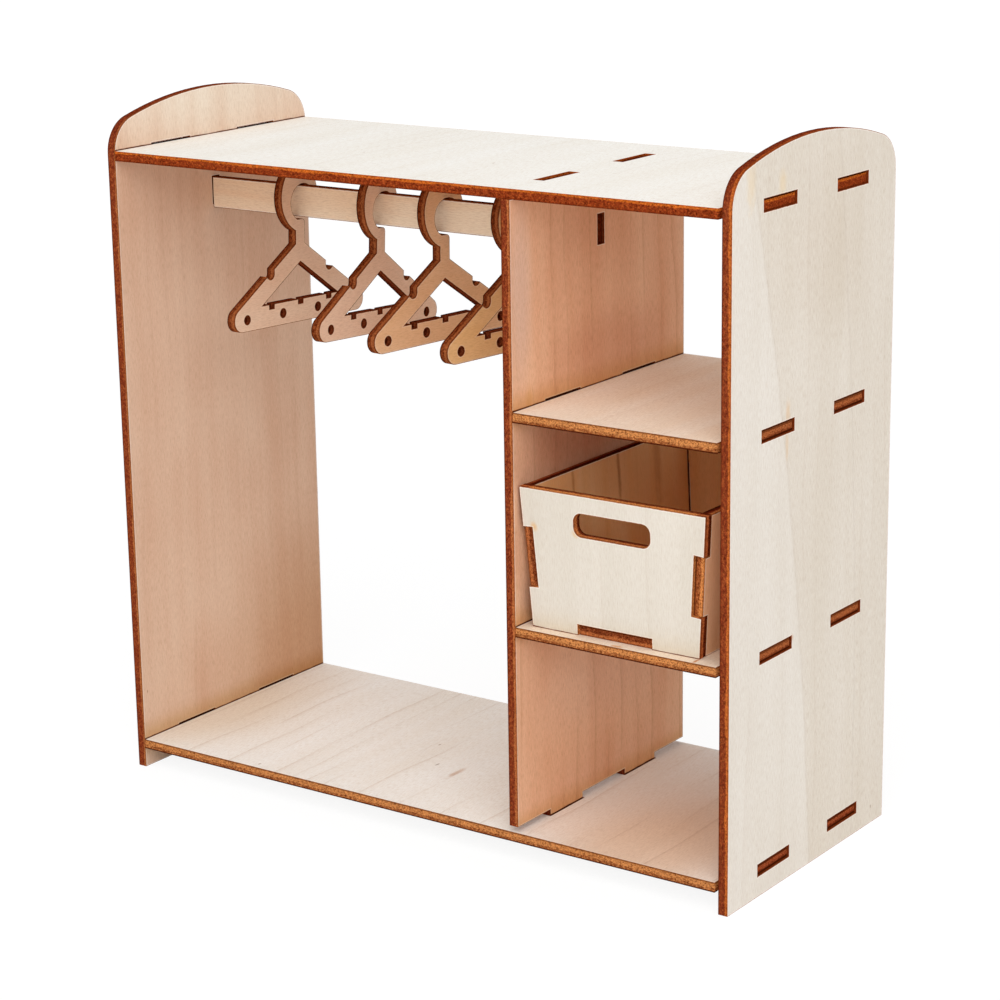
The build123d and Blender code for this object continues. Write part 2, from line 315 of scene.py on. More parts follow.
def buildRimScorchAndHighlight(work):
    # where a face meets the cut: a hair line of char, a tan line beside it, a pale band of painted
    # highlight, a patchy halo
    group, given, result = startGroup(
        "rimScorchAndHighlight",
        [
            ("Place", "Vector", (0, 0, 0)),
            ("Seed", "Float", 0.0),
            ("Rim", "Float", 0.0),
            ("Hole", "Float", 0.0),
        ],
        [("Line", "Float"), ("Tan", "Float"), ("Painted Highlight", "Float"), ("Halo", "Float")],
    )
    place = shiftBySeed(group, given, work["seedStep"])
    ragged = noise(group, place, work["ragged"], detail=3.0, roughness=0.6)
    patches = noise(group, place, work["patches"], detail=1.0)
    uneven = calculate(group, "MULTIPLY_ADD", ragged, work["raggedness"], -work["raggedness"] / 2)
    edge = calculate(group, "ADD", given["Rim"], uneven)
    hole = calculate(group, "MULTIPLY", given["Hole"], given["Rim"])
    scorched = calculate(group, "MULTIPLY_ADD", hole, work["holeExtra"], edge)
    feed(group, result["Line"], ease(group, scorched, *work["line"]))
    feed(group, result["Tan"], ease(group, scorched, *work["tan"]))
    bandStart = ease(group, edge, *work["bandStart"])
    bandEnd = ease(group, edge, *work["bandEnd"])
    feed(group, result["Painted Highlight"], calculate(group, "MULTIPLY", bandStart, bandEnd))
    haloEdge = ease(group, edge, *work["halo"])
    haloParts = ease(group, patches, *work["haloParts"])
    feed(group, result["Halo"], calculate(group, "MULTIPLY", haloEdge, haloParts))
    return group


stainWork = {
    "ragged": (0.5, 0.9, 0.0),  # turns per millimetre
    "edge": (1.0, 0.15),  # where the mark starts and where it is full, as shares of its reach
}


def buildStain(work):
    # one soft-edged mark at a given place of the sheet, that ends at its reach
    group, given, result = startGroup(
        "sheetStain",
        [
            ("Place", "Vector", (0, 0, 0)),
            ("Centre", "Vector", (0, 0, 0)),
            ("Reach", "Vector", (1, 1, 1)),
            ("Ragged", "Float", 0.7),
            ("Amount", "Float", 1.0),
        ],
        [("Mask", "Float")],
    )
    away = moveVector(group, "SUBTRACT", given["Place"], given["Centre"])
    away = moveVector(group, "DIVIDE", away, given["Reach"])
    distance = addNode(group, "VectorMath", {0: away}, operation="LENGTH").outputs["Value"]
    ragged = noise(group, given["Place"], work["ragged"], detail=2.0)
    uneven = calculate(group, "MULTIPLY", calculate(group, "SUBTRACT", ragged, 0.5), given["Ragged"])
    distance = calculate(group, "ADD", distance, uneven)
    mask = calculate(group, "MULTIPLY", ease(group, distance, *work["edge"]), given["Amount"])
    feed(group, result["Mask"], mask)
    return group


def buildSlotSootAndShade():
    # smoke left by the laser and painted shade in slots and on tab ends: everything outside the given
    # corners, from clear to dark over the fade
    group, given, result = startGroup(
        "slotSootAndShade",
        [
            ("Place", "Vector", (0, 0, 0)),
            ("Low", "Vector", (-1, -1, -1)),
            ("High", "Vector", (1, 1, 1)),
            ("Fade", "Float", 0.001),
        ],
        [("Mask", "Float")],
    )
    below = moveVector(group, "SUBTRACT", given["Low"], given["Place"])
    above = moveVector(group, "SUBTRACT", given["Place"], given["High"])
    outside = addNode(group, "SeparateXYZ", {0: moveVector(group, "MAXIMUM", below, above)}).outputs
    furthest = calculate(group, "MAXIMUM", outside[0], outside[1])
    furthest = calculate(group, "MAXIMUM", furthest, outside[2])
    feed(group, result["Mask"], ease(group, furthest, 0.0, given["Fade"]))
    return group


jointWork = {
    # millimetres: how far the painted warm shade reaches, the hair line's core and edge, and how ragged
    # it is
    "shadeReach": 7.0, "lineCore": 0.36, "lineEdge": 0.62, "ragged": 0.4,
    "raggedTurns": (260.0, 260.0, 260.0),  # per metre
}


def buildJointLine(work):
    # where another sheet's face meets this one: a hair line of smoke and painted contact shadow, and a
    # painted warm shade that fades away
    group, given, result = startGroup(
        "jointLine",
        [("Place", "Vector", (0, 0, 0)), ("Normal", "Vector", (0, 0, 1)), ("Level", "Float", 0.0)],
        [("Line", "Float"), ("Shade", "Float")],
    )
    dot = addNode(group, "VectorMath", {0: given["Place"], 1: given["Normal"]}, operation="DOT_PRODUCT")
    away = calculate(group, "SUBTRACT", dot.outputs["Value"], given["Level"])
    away = calculate(group, "ABSOLUTE", away)
    feed(group, result["Shade"], ease(group, away, work["shadeReach"] * millimetre, 0.0))
    ragged = noise(group, given["Place"], work["raggedTurns"], detail=3.0)
    away = calculate(group, "MULTIPLY_ADD", ragged, work["ragged"] * millimetre, away)
    line = ease(group, away, work["lineEdge"] * millimetre, work["lineCore"] * millimetre)
    feed(group, result["Line"], line)
    return group


seamWork = {
    "wander": (0.06, 0.0, 0.0), "wanderWidth": 1.6,  # turns per millimetre, millimetres
    # millimetres from the seam, where each side of it starts and where it is full
    "side": (-0.9, 1.0), "rising": (-1.6, -0.05), "falling": (0.25, 0.0),
    "unit": 0.01,  # slope and curve are given per hundred millimetres along the grain
}


def buildVeneerSeam(work):
    # the long edge of a paler strip in the veneer, on a gentle curve across the sheet
    group, given, result = startGroup(
        "veneerSeam",
        [
            ("Place", "Vector", (0, 0, 0)),
            ("Offset", "Float", 0.0),
            ("Slope", "Float", 0.0),
            ("Curve", "Float", 0.0),
        ],
        [("Side", "Float"), ("Line", "Float")],
    )
    parts = addNode(group, "SeparateXYZ", {0: given["Place"]}).outputs
    way = calculate(group, "MULTIPLY", parts[0], work["unit"])
    rise = calculate(group, "MULTIPLY_ADD", way, given["Curve"], given["Slope"])
    seam = calculate(group, "MULTIPLY_ADD", way, rise, given["Offset"])
    wander = noise(group, given["Place"], work["wander"], detail=2.0)
    wander = calculate(group, "MULTIPLY_ADD", wander, work["wanderWidth"], -work["wanderWidth"] / 2)
    seam = calculate(group, "ADD", seam, wander)
    distance = calculate(group, "SUBTRACT", parts[1], seam)
    feed(group, result["Side"], ease(group, distance, *work["side"]))
    rising = ease(group, distance, *work["rising"])
    falling = ease(group, distance, *work["falling"])
    line = calculate(group, "MULTIPLY", rising, falling)
    feed(group, result["Line"], calculate(group, "POWER", line, 2.0))
    return group


grainEffect = buildGrain(grainWork)
cutEffect = buildLaserCut(cutWork)
rimEffect = buildRimScorchAndHighlight(rimWork)
stainEffect = buildStain(stainWork)
sootAndShadeEffect = buildSlotSootAndShade()
seamEffect = buildVeneerSeam(seamWork)
jointEffect = buildJointLine(jointWork)
print("ply effects built")


def startMaterial(name, specular):
    material = bpy.data.materials.new(name)
    material.use_nodes = True
    tree = material.node_tree
    shader = tree.nodes["Principled BSDF"]
    shader.inputs["Specular IOR Level"].default_value = specular
    return material, tree, shader


def addBump(tree, shader, height, work):
    inputs = {"Height": height, "Strength": work["strength"], "Distance": work["distance"] * millimetre}
    tree.links.new(addNode(tree, "Bump", inputs).outputs[0], shader.inputs["Normal"])


scorchAndShadeTones = {
    "halo": "#b06f36", "tan": "#b87434", "line": "#5c270b", "joint": "#5e2b10", "sootAndShade": "#3c1606",
    # jointShade tints the painted warm shade beside joints
    "jointShade": (0.84, 0.75, 0.56, 1.0), "seamLine": (0.66, 0.60, 0.56, 1.0),
}
faceWork = {"specular": 0.03, "sootAndShadeFade": 0.2, "markDepth": 1.5, "shadeRagged": 0.08}
faceBump = {"strength": 0.30, "distance": 0.06}
cutBump = {"strength": 0.5, "distance": 0.10}


def sootAndShadeMask(tree, spot, corners, fade):
    low, high = corners
    return placeGroup(tree, sootAndShadeEffect, {
        "Place": spot, "Low": Vector(low) * millimetre, "High": Vector(high) * millimetre,
        "Fade": fade * millimetre,
    })["Mask"]


def facePlane(node, facing):
    # the face of a sheet that looks this way: its normal, and how far out it lies in metres
    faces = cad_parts[node].data.polygons
    face = max(faces, key=lambda face: face.normal.dot(Vector(facing)) * face.area)
    return face.normal.copy(), face.center.dot(face.normal)


def faceMaterial(look, axes):
    material, tree, shader = startMaterial(look["node"] + "_face", faceWork["specular"])
    place = addNode(tree, "Attribute", attribute_name="sheetPlace").outputs["Vector"]
    rim = addNode(tree, "Attribute", attribute_name="rim").outputs["Fac"]
    spot = addNode(tree, "TexCoord").outputs["Object"]
    through = addNode(tree, "SeparateXYZ", {0: place}).outputs[2]
    front = calculate(tree, "GREATER_THAN", through, 0.0)
    pale = mixColours(tree, front, paint(look["back"][0]), paint(look["front"][0]))
    warm = mixColours(tree, front, paint(look["back"][1]), paint(look["front"][1]))
    grain = placeGroup(tree, grainEffect, {
        "Place": place, "Seed": look["seed"], "Pale": pale, "Warm": warm,
        "Bands": look["bands"], "Fibres": look["fibres"],
        "Lines": look["lines"], "Flecks": look["flecks"],
    })
    colour = grain["Color"]
    for offset, slope, curve, sideTone, sideAmount, lineAmount in look["seams"]:
        seam = placeGroup(tree, seamEffect, {
            "Place": place, "Offset": offset, "Slope": slope, "Curve": curve,
        })
        side = calculate(tree, "MULTIPLY", seam["Side"], sideAmount)
        colour = mixColours(tree, side, colour, paint(sideTone), "SCREEN")
        line = calculate(tree, "MULTIPLY", seam["Line"], lineAmount)
        colour = mixColours(tree, line, colour, scorchAndShadeTones["seamLine"], "MULTIPLY")
    # wide patches of painted light and shade only tint the grain, small stains cover it
    for centre, reach, tint, amount in look["paintedLightAndShade"]:
        middle = sheetPlace(Vector(centre), axes)
        ground = look["front"] if middle.z > 0 else look["back"]
        ratio = [wanted / given for wanted, given in zip(paint(tint), paint(ground[0]))]
        mask = placeGroup(tree, stainEffect, {
            "Place": place, "Centre": middle, "Reach": (*reach, faceWork["markDepth"]),
            "Ragged": faceWork["shadeRagged"], "Amount": amount,
        })
        colour = mixColours(tree, mask["Mask"], colour, ratio, "MULTIPLY")
    for centre, reach, tint, amount in look["stains"]:
        mask = placeGroup(tree, stainEffect, {
            "Place": place, "Centre": sheetPlace(Vector(centre), axes),
            "Reach": (*reach, faceWork["markDepth"]), "Amount": amount,
        })
        colour = mixColours(tree, mask["Mask"], colour, paint(tint))
    hole = addNode(tree, "Attribute", attribute_name="hole").outputs["Fac"]
    scorchAndHighlight = placeGroup(tree, rimEffect, {
        "Place": place, "Seed": look["seed"], "Rim": rim, "Hole": hole,
    })
    # a pale band along the cut is a painted highlight
    band = calculate(tree, "MULTIPLY", scorchAndHighlight["Painted Highlight"], look["paintedHighlight"])
    colour = mixColours(tree, band, colour, paint(look["highlightTone"]))
    halo = calculate(tree, "MULTIPLY", scorchAndHighlight["Halo"], look["halo"])
    colour = mixColours(tree, halo, colour, paint(scorchAndShadeTones["halo"]))
    tan = calculate(tree, "MULTIPLY", scorchAndHighlight["Tan"], look["tan"])
    colour = mixColours(tree, tan, colour, paint(scorchAndShadeTones["tan"]))
    line = calculate(tree, "MULTIPLY", scorchAndHighlight["Line"], look["line"])
    colour = mixColours(tree, line, colour, paint(scorchAndShadeTones["line"]))
    # at each joint: a hair line of smoke and painted contact shadow, and painted warm shade beside it
    for node, facing, side, paintedShadeAmount in look["joints"]:
        normal, level = facePlane(node, facing)
        touch = placeGroup(tree, jointEffect, {"Place": spot, "Normal": normal, "Level": level})
        near = front if side > 0 else calculate(tree, "SUBTRACT", 1.0, front)
        shade = calculate(tree, "MULTIPLY", touch["Shade"], calculate(tree, "MULTIPLY", near, paintedShadeAmount))
        colour = mixColours(tree, shade, colour, scorchAndShadeTones["jointShade"], "MULTIPLY")
        smokeAndShadow = calculate(tree, "MULTIPLY", touch["Line"], near)
        colour = mixColours(tree, smokeAndShadow, colour, paint(scorchAndShadeTones["joint"]))
    # outside the given box the face darkens: laser soot, and painted shade where tabs sit in slots
    sootAndShade = sootAndShadeMask(tree, spot, look["clearOfSootAndShade"], faceWork["sootAndShadeFade"])
    colour = mixColours(tree, sootAndShade, colour, paint(scorchAndShadeTones["sootAndShade"]))
    feed(tree, shader.inputs["Base Color"], colour)
    charredAndShaded = calculate(tree, "MAXIMUM", sootAndShade, line)
    feed(tree, shader.inputs["Roughness"], calculate(tree, "MAXIMUM", grain["Roughness"], charredAndShaded))
    addBump(tree, shader, grain["Height"], faceBump)
    return material


def cutMaterial(look):
    material, tree, shader = startMaterial(look["node"] + "_cut", 0.0)
    place = addNode(tree, "Attribute", attribute_name="sheetPlace").outputs["Vector"]
    hole = addNode(tree, "Attribute", attribute_name="hole").outputs["Fac"]
    spot = addNode(tree, "TexCoord").outputs["Object"]
    # outside the given box and round holes the cut darkens: laser soot, and painted shade in slots and
    # on tab ends
    endSootAndShade = sootAndShadeMask(tree, spot, look.get("cutClearOfSootAndShade", look["clearOfSootAndShade"]), look["cutFade"])
    endSootAndShade = calculate(tree, "MULTIPLY", endSootAndShade, look["endSootAndShade"])
    holeSootAndShade = calculate(tree, "MULTIPLY", hole, look["holeSootAndShade"])
    cut = placeGroup(tree, cutEffect, {
        "Place": place, "Seed": look["seed"], "Half Thickness": sheetThickness / 2,
        "Char": paint(look["char"]), "Toast": paint(look["toast"]), "Glow": paint(look["glow"]),
        "Light Side": look["lightSide"], "Split": look["split"],
        "Specks": look["specks"], "Borders": look["borders"],
        "Soot And Shade": calculate(tree, "MAXIMUM", endSootAndShade, holeSootAndShade),
    })
    feed(tree, shader.inputs["Base Color"], cut["Color"])
    feed(tree, shader.inputs["Roughness"], cut["Roughness"])
    addBump(tree, shader, cut["Height"], cutBump)
    return material


# every piece is a cut sheet, dressed over its own solid

sheetWork = {
    "rimWidth": 0.45, "arris": 0.10, "arrisSegments": 2, "weld": 0.004, "crumb": 0.0015,  # millimetres
    "flatAngle": 0.3, "cornerAngle": 25.0, "creaseAngle": 15.0,  # degrees
    "broadSide": 0.999, "faceSide": 0.98,  # how squarely a face looks out, for its ring and its finish
    "longOutline": 0.9,  # an outline shorter than this share of the longest one goes round a hole
}


def sheetPlace(point, axes):
    # a point in millimetres, along the grain, across it, and through the sheet from its middle
    along, across, outward, middle = axes
    return Vector((point.dot(along), point.dot(across), point.dot(outward) - middle))


def findAxes(sheet, look):
    broad = max(sheet.faces, key=lambda face: face.calc_area())
    outward = broad.normal.copy()
    if outward.dot(Vector(look["facing"])) < 0:
        outward.negate()
    grain = Vector(look["grain"])
    along = (grain - outward * grain.dot(outward)).normalized()
    across = outward.cross(along)
    heights = [vert.co.dot(outward) / millimetre for vert in sheet.verts]
    return along, across, outward, (min(heights) + max(heights)) / 2


def markHoles(sheet, broad, hole):
    # each face has one outline that is the longest, the shorter ones go round its slots and holes
    faces = set(broad)
    waiting = {edge for edge in sheet.edges if sum(face in faces for face in edge.link_faces) == 1}
    loops = []
    while waiting:
        loop = [waiting.pop()]
        for edge in loop:
            for vert in edge.verts:
                found = waiting.intersection(vert.link_edges)
                waiting -= found
                loop.extend(found)
        loops.append(loop)
    lengths = [sum(edge.calc_length() for edge in loop) for loop in loops]
    for loop, length in zip(loops, lengths):
        for edge in loop:
            for vert in edge.verts:
                vert[hole] = 1.0 if length < max(lengths) * sheetWork["longOutline"] else 0.0


def dressSheet(look):
    node = look["node"]
    sheet = bmesh.new()
    sheet.from_mesh(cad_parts[node].data)
    rim = sheet.verts.layers.float.new("rim")
    hole = sheet.verts.layers.float.new("hole")
    place = sheet.verts.layers.float_vector.new("sheetPlace")
    bmesh.ops.remove_doubles(sheet, verts=sheet.verts, dist=sheetWork["weld"] * millimetre)
    flat = radians(sheetWork["flatAngle"])
    bmesh.ops.dissolve_limit(sheet, angle_limit=flat, verts=sheet.verts, edges=sheet.edges)
    sheet.normal_update()
    axes = findAxes(sheet, look)
    outward = axes[2]

    # a narrow ring round every outline of both faces carries the scorch of the cut and a painted
    # highlight
    broad = [face for face in sheet.faces if abs(face.normal.dot(outward)) > sheetWork["broadSide"]]
    markHoles(sheet, broad, hole)
    bmesh.ops.inset_region(
        sheet, faces=broad, use_boundary=True, use_even_offset=True,
        thickness=sheetWork["rimWidth"] * millimetre, depth=0.0,
    )
    inside = {vert for face in broad for vert in face.verts}
    for vert in sheet.verts:
        vert[rim] = 0.0 if vert in inside else 1.0

    sheet.normal_update()
    corner = radians(sheetWork["cornerAngle"])
    closed = [edge for edge in sheet.edges if len(edge.link_faces) == 2]
    bmesh.ops.bevel(
        sheet, geom=[edge for edge in closed if edge.calc_face_angle() > corner], affect="EDGES",
        offset=sheetWork["arris"] * millimetre, offset_type="OFFSET",
        segments=sheetWork["arrisSegments"], profile=0.5, material=-1, clamp_overlap=True,
    )
    bmesh.ops.remove_doubles(sheet, verts=sheet.verts, dist=sheetWork["crumb"] * millimetre)
    sheet.normal_update()
    for vert in sheet.verts:
        vert[place] = sheetPlace(vert.co / millimetre, axes)
    for face in sheet.faces:
        face.smooth = True
        face.material_index = 0 if abs(face.normal.dot(outward)) > sheetWork["faceSide"] else 1
    crease = radians(sheetWork["creaseAngle"])
    for edge in sheet.edges:
        edge.smooth = len(edge.link_faces) == 2 and edge.calc_face_angle() < crease

    mesh = bpy.data.meshes.new(node + "_sheet")
    sheet.to_mesh(mesh)
    sheet.free()
    mesh.attributes.remove(mesh.attributes["custom_normal"])
    piece = bpy.data.objects.new(node + "_sheet", mesh)
    bpy.context.scene.collection.objects.link(piece)
    mesh.materials.append(faceMaterial(look, axes))
    mesh.materials.append(cutMaterial(look))
    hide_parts(node)
    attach(piece, look["body"])


far = 300.0  # millimetres, past the stand on every side
everywhere = ((-far, -far, -far), (far, far, far))

# finish that most sheets share; a piece's own dictionary changes what differs
plainPly = {
    # a patch of painted light and shade, like a stain, is its place on the stand, its reach along and
    # across the grain, tone and amount
    # a seam is its offset across the grain, slope, curve, tone, amount of the tone, amount of the line
    # a joint is the other sheet, the way its face looks, 1 for the front or -1 for the back, and its
    # painted shade
    "bands": 0.55, "fibres": 0.58, "lines": 0.12, "flecks": 0.6,
    "paintedLightAndShade": [], "stains": [], "seams": [], "joints": [],
    "front": ("#ebe3d8", "#e3d9cb"), "back": ("#ebe3d8", "#e3d9cb"),
    # the pale band along every cut is a painted highlight
    "paintedHighlight": 0.6, "highlightTone": "#fdf7ee", "halo": 0.25, "line": 1.0, "tan": 0.7,
    "char": "#742e17", "toast": "#a2542a", "glow": "#bc7038",
    # outside the given box and round holes, faces and cuts darken: laser soot, and painted shade in
    # slots
    "lightSide": 1.0, "split": 0.35, "specks": 0.7, "borders": 0.6, "clearOfSootAndShade": everywhere,
    "cutFade": 0.2, "endSootAndShade": 0.6, "holeSootAndShade": 0.6,
}

# the inner faces: the same ply in a warmer, darker tone that paints the shade of the bays
shadedInnerTone = ("#ecccb2", "#deb496")
up = (0, 0, 1)
upright = {
    **plainPly, "body": "stand", "slot": "side_panel_ply", "grain": (0, 0, 1),
    "char": "#79311b", "toast": "#9e502a", "glow": "#b4683a",
    "split": 0.46, "specks": 0.8, "borders": 0.5,
}
belowArch = ((-far, -far, -far), (far, far, 171.0))
leftSide = {
    # the inner face's warmer tone is painted shade of the left bay
    **upright, "node": "left_side", "facing": (-1, 0, 0), "seed": 1, "back": ("#e8cab2", "#dab297"),
    "lightSide": -1.0, "joints": [("base_board", up, -1, 1.0), ("top_board", up, -1, 0.0)],
    "glow": "#b06a3c", "split": 0.62, "cutClearOfSootAndShade": belowArch, "cutFade": 9.0, "endSootAndShade": 0.45,
    "paintedLightAndShade": [
        # painted light over the arch, and painted shade low at the rear above the base
        ((-92.4, 0.0, 186.0), (26.0, 60.0), "#f6ecdc", 0.95),
        ((-92.4, 33.0, 12.0), (62.0, 48.0), "#cc9f7c", 0.90),
    ],
}
divider = {
    **upright, "node": "divider", "facing": (1, 0, 0), "seed": 2,
    # the right face's warmer tone is painted shade of the right bay
    "front": ("#f6c9a7", "#e8b08c"), "back": shadedInnerTone, "lines": 0.38, "fibres": 0.68,
    "joints": [
        ("base_board", up, 1, 1.0), ("lower_shelf", up, 1, 1.0), ("upper_shelf", up, 1, 1.0),
        ("base_board", up, -1, 1.0),
    ],
    # near the base board and the top board the divider darkens: char on its ends, and painted shade in
    # the slots
    "clearOfSootAndShade": ((-far, -far, 8.25), (far, far, 168.7)),
    "cutClearOfSootAndShade": ((-far, -far, 9.6), (far, far, 168.7)), "endSootAndShade": 0.75,
    "paintedLightAndShade": [
        # painted light and shade on the right face: greyer near the front, darker above the upper
        # shelf, behind the drawer and by the base, lighter high in the lower bay
        ((33.8, -35.5, 146.0), (34.0, 7.0), "#e8c8b4", 0.80),
        ((33.8, 4.0, 126.0), (15.0, 36.0), "#d89c7c", 0.50),
        ((33.8, -8.0, 106.0), (14.0, 42.0), "#ecac88", 0.80),
        ((33.8, 4.0, 44.0), (24.0, 48.0), "#fcd6ba", 0.85),
        ((33.8, 0.0, 12.0), (16.0, 36.0), "#dca888", 0.30),
    ],
    "stains": [((33.8, -32.3, 118.7), (5.0, 2.0), "#d9a15c", 0.35)],
}
rightSide = {
    **upright, "node": "right_side", "facing": (1, 0, 0), "seed": 3, "back": shadedInnerTone,
    "glow": "#bf662e", "cutClearOfSootAndShade": belowArch, "cutFade": 9.0, "endSootAndShade": 0.45,
    "joints": [
        ("base_board", up, -1, 1.0), ("lower_shelf", up, -1, 1.0), ("upper_shelf", up, -1, 1.0),
        ("top_board", up, -1, 0.0),
    ],
    "seams": [(-0.3, 6.5, 6.0, "#ffffff", 0.14, 0.15), (-22.2, -2.6, 5.0, "#ffffff", 0.0, 0.14)],
    # painted shade over the upper outer face
    "paintedLightAndShade": [((95.0, 4.0, 156.0), (36.0, 34.0), "#e6dccf", 1.00)],
    "stains": [
        ((95.0, -31.0, 176.0), (9.0, 3.0), "#ecd0a0", 0.38),
        ((95.0, -16.6, 174.5), (4.5, 2.6), "#ecd0a0", 0.42),
        ((95.0, -12.9, 119.0), (5.0, 1.6), "#e4b67c", 0.40),
        ((95.0, -13.2, 111.5), (6.0, 1.1), "#e4b67c", 0.32),
        ((95.0, -9.6, 62.4), (1.3, 0.9), "#c4843f", 0.60),
    ],
}
for look in (leftSide, divider, rightSide):
    dressSheet(look)
print("side panels and divider dressed")

flatBoard = {
    **plainPly, "body": "stand", "slot": "board_ply", "grain": (0, 1, 0), "facing": (0, 0, 1),
    "char": "#8c4c28", "toast": "#bc7a48", "glow": "#c4804a",
    "split": -0.2, "specks": 1.0, "borders": 1.0,
    # tabs beyond the side panels' inner faces darken: laser soot, and painted shade in their slots
    "clearOfSootAndShade": ((-92.1, -far, -far), (92.1, far, far)),
}
topBoard = {
    **flatBoard, "node": "top_board", "seed": 4, "front": ("#fcfaf5", "#f8f4ec"), "back": shadedInnerTone,
    "char": "#7e2f14", "toast": "#9e4820", "glow": "#c66424", "split": 0.52, "borders": 0.4,
    "endSootAndShade": 0.0, "holeSootAndShade": 0.3, "clearOfSootAndShade": ((-92.35, -far, -far), (92.35, far, far)),
}
baseBoard = {
    **flatBoard, "node": "base_board", "seed": 5, "front": ("#fcfaf6", "#f6f0e7"),
    "lines": 0.42, "endSootAndShade": 0.85,
    "paintedLightAndShade": [
        # painted shade beside the left side and across the right bay
        ((-88.0, -8.0, 8.0), (52.0, 26.0), "#e8d8c2", 0.70),
        ((66.0, -28.0, 8.0), (60.0, 42.0), "#e6be9a", 0.72),
    ],
    "stains": [
        ((-4.5, -13.5, 8.0), (6.0, 1.2), "#b98250", 0.55),
        ((-12.5, -11.0, 8.0), (1.2, 0.5), "#7a5a40", 0.60),
    ],
}
shelfBoard = {
    # beyond the divider and the right side the shelf tabs darken: laser soot, and painted shade in
    # their slots
    **flatBoard, "back": shadedInnerTone, "clearOfSootAndShade": ((34.1, -far, -far), (92.1, far, far)), "fibres": 0.65,
}
lowerShelf = {
    **shelfBoard, "node": "lower_shelf", "seed": 6, "front": ("#f8e6d3", "#eed6bc"),
    "stains": [
        ((84.9, -37.8, 62.5), (2.2, 0.6), "#c06a24", 0.90),
        ((63.0, -38.6, 62.5), (1.2, 2.4), "#d08438", 0.70),
    ],
}
upperShelf = {**shelfBoard, "node": "upper_shelf", "seed": 7, "front": ("#fdf0e1", "#f5dfc7")}
for look in (topBoard, baseBoard, lowerShelf, upperShelf):
    dressSheet(look)
print("boards and shelves dressed")

hangingRail = {
    **plainPly, "node": "hanging_rail", "body": "stand", "slot": "rail_ply", "grain": (1, 0, 0),
    "facing": (0, -1, 0), "seed": 8, "front": ("#feeacf", "#f6d0aa"), "bands": 0.9, "fibres": 0.6,
    "char": "#5a2410", "toast": "#8e4a24", "glow": "#a8602e", "split": 0.6, "borders": 0.9,
    # the rail's ends beyond the left side and the divider darken: laser soot, and painted shade in
    # their slots
    "clearOfSootAndShade": ((-92.15, -far, -far), (30.95, far, far)),
}
dressSheet(hangingRail)
print("rail dressed")

drawerInside = {
    "drawer_front": (0, 1, 0), "drawer_back": (0, -1, 0),
    "drawer_left": (1, 0, 0), "drawer_right": (-1, 0, 0), "drawer_floor": up,
}


def insideJoints(node):
    # the other sheets of the drawer, each by its face that looks inwards, with a little painted shade
    # in the corners
    return [(other, facing, -1, 0.3) for other, facing in drawerInside.items() if other != node]


drawerPly = {
    # the drawer's inner faces take a saturated orange tone that paints the warm shade inside it
    **plainPly, "body": "drawer", "slot": "drawer_ply", "back": ("#fed09a", "#f6b678"), "grain": up,
    "fibres": 0.38, "char": "#6e3117", "toast": "#98522e", "glow": "#b0663a",
    "split": 0.15, "specks": 0.9, "borders": 0.8,
}
drawerFront = {
    **drawerPly, "node": "drawer_front", "facing": (0, -1, 0), "seed": 9,
    "front": ("#e7dfd3", "#ded5c7"), "glow": "#d88a4e", "split": -0.05, "holeSootAndShade": 0.35,
    # beyond the finger notches the front's cuts darken: laser soot, and painted shade in the notches
    # round the fingers
    "cutClearOfSootAndShade": ((37.4, -far, -far), (84.6, far, far)), "cutFade": 0.5,
    # where the front stands on the lower shelf: a painted contact shadow line and a little painted
    # shade
    "joints": [*insideJoints("drawer_front"), ("lower_shelf", up, 1, 0.3)],
    "stains": [
        ((38.3, -37.5, 88.6), (1.8, 1.6), "#e3a850", 0.60),
        ((50.9, -37.5, 88.5), (1.5, 2.1), "#e6b668", 0.50),
    ],
}
drawerBack = {
    **drawerPly, "node": "drawer_back", "facing": (0, 1, 0), "seed": 10,
    "joints": insideJoints("drawer_back"),
}
drawerWall = {**drawerPly, "clearOfSootAndShade": ((-far, -far, -far), (far, far, 98.3)), "endSootAndShade": 1.6}
drawerLeft = {
    **drawerWall, "node": "drawer_left", "facing": (-1, 0, 0), "seed": 11,
    "joints": insideJoints("drawer_left"),
    "stains": [
        ((37.0, -18.4, 95.0), (16.0, 0.9), "#a85a16", 0.50),
        ((37.1, 2.3, 95.0), (18.0, 1.1), "#9c5012", 0.55),
        ((37.3, 20.6, 95.0), (20.0, 2.6), "#a85a16", 0.32),
    ],
}
drawerRight = {
    **drawerWall, "node": "drawer_right", "facing": (1, 0, 0), "seed": 12,
    # the outer face's warm tone is partly a warm veneer side and partly painted shade beside the right
    # side
    "front": ("#f4c6a0", "#e8b086"), "char": "#86421f", "toast": "#b0663a", "glow": "#cf8248",
    "joints": insideJoints("drawer_right"),
}
drawerFloor = {
    **drawerPly, "node": "drawer_floor", "grain": (0, 1, 0), "facing": (0, 0, -1), "seed": 13,
    "joints": insideJoints("drawer_floor"),
}
for look in (drawerFront, drawerBack, drawerLeft, drawerRight, drawerFloor):
    dressSheet(look)
print("drawer dressed")

hangerPly = {
    **plainPly, "slot": "hanger_ply", "grain": (0, 1, 0), "facing": (1, 0, 0), "lines": 0.05,
    # the pale band along the hangers' cuts is a painted highlight
    "highlightTone": "#f6dfc8", "paintedHighlight": 0.5, "char": "#64280f", "toast": "#94502c", "glow": "#9a5630",
    "split": 0.1, "specks": 0.8, "borders": 1.0,
}
hangerTones = [
    ("#eccfb6", "#e7c1a5"), ("#f3d3ba", "#eac5aa"), ("#f0cba8", "#e6b78c"), ("#f2cd9c", "#e8b980"),
]
for number, tones in enumerate(hangerTones, start=1):
    name = f"hanger_{number}"
    seed = 20 + number
    dressSheet({**hangerPly, "node": name, "body": name, "seed": seed, "front": tones, "back": tones})
print("hangers dressed")

# floor, light and camera

